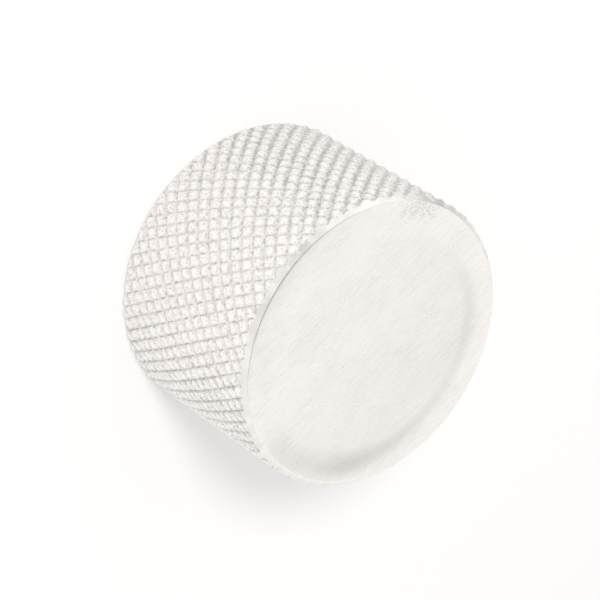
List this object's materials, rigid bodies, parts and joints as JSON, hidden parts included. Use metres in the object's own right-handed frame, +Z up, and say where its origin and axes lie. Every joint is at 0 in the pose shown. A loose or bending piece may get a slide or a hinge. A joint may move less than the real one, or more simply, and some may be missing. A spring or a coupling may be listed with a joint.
{
  "type": "knurled knob",
  "caption": "Solid aluminium control knob with a diamond-knurled rim, a flat brushed face and a blind shaft bore clamped by a set screw.",
  "frame": {"origin": "centre of the underside, on the axis of the shaft bore", "axes": "+Z up the axis from the open underside to the flat front face, +Y out of the set screw's hole"},
  "size_m": [0.024, 0.024, 0.0165],
  "materials": {
    "bright_aluminium": "bare turned and knurled, face brushed one way",
    "black_steel": "black oxide"
  },
  "bodies": {
    "root": {"knob_body": "bright_aluminium", "set_screw": "black_steel"}
  },
  "joints": []
}
